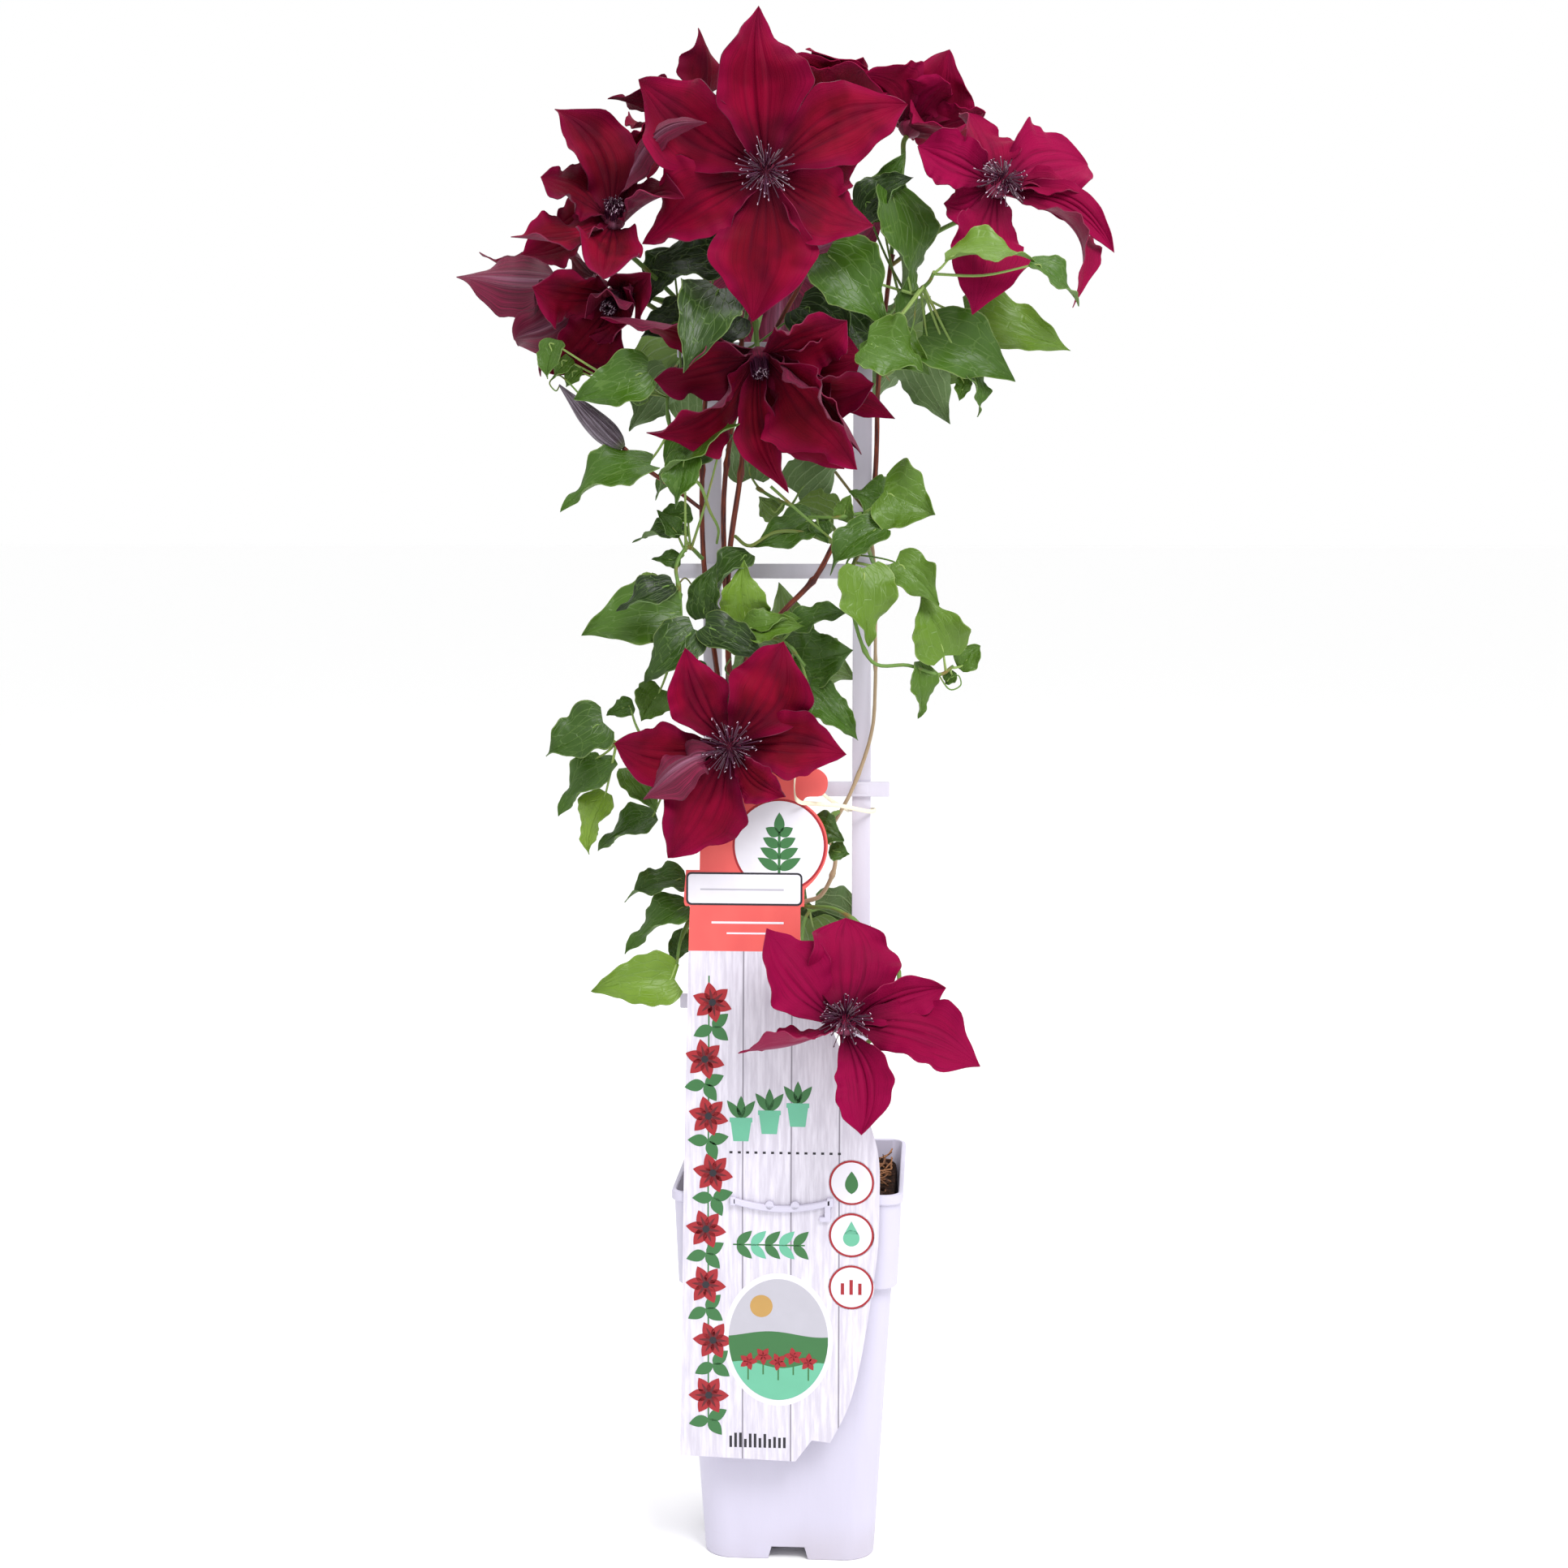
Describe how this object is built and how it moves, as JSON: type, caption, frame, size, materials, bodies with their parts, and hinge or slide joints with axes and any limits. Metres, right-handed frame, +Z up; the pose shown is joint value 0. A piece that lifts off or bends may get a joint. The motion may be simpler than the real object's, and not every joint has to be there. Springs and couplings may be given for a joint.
{
  "type": "clematis plant on a trellis",
  "caption": "Large-flowered clematis with red blooms and heart-shaped leaves, trained up a white plastic ladder trellis in a square nursery pot, with a card label on its rim.",
  "frame": {"origin": "on the floor under the middle of the pot, at the height of the pot's foot", "axes": "+Z up along the trellis rails, -Y towards the side with the label and the open blooms, +X to the right seen from there"},
  "size_m": [0.3393, 0.2219, 0.8162],
  "materials": {
    "pot": "satin",
    "soil": "matte",
    "trellis": "satin",
    "label": "satin",
    "tie": "matte",
    "stem": "satin",
    "petal": "satin",
    "stamen": "matte",
    "leaf": "satin",
    "bud": "matte"
  },
  "bodies": {
    "root": {"pot": "pot", "soil": "soil", "trellis": "trellis", "label": "label", "tie": "tie", "stems": "stem", "bud": "bud", "flower_main": "petal", "stamens_main": "stamen", "flower_right": "petal", "stamens_right": "stamen", "flower_left_high": "petal", "stamens_left_high": "stamen", "flower_left_side": "petal", "stamens_left_side": "stamen", "flower_left_low": "petal", "stamens_left_low": "stamen", "flower_back_left": "petal", "stamens_back_left": "stamen", "flower_back_middle": "petal", "stamens_back_middle": "stamen", "flower_back_right": "petal", "stamens_back_right": "stamen", "flower_nodding": "petal", "stamens_nodding": "stamen", "flower_low_left": "petal", "stamens_low_left": "stamen", "flower_lowest": "petal", "stamens_lowest": "stamen", "flower_rear": "petal", "stamens_rear": "stamen", "leaves_top_right": "leaf", "leaves_top_left": "leaf", "leaves_upper_left": "leaf", "leaves_mid_left": "leaf", "leaves_low_left": "leaf", "leaves_mid_right": "leaf", "leaves_upper_right": "leaf", "leaves_inner_right": "leaf", "leaves_trailing_right": "leaf", "leaves_low_right": "leaf", "leaves_rear_left": "leaf", "leaves_rear_right": "leaf", "leaves_rear_middle": "leaf", "leaves_rear_low": "leaf"}
  },
  "joints": []
}
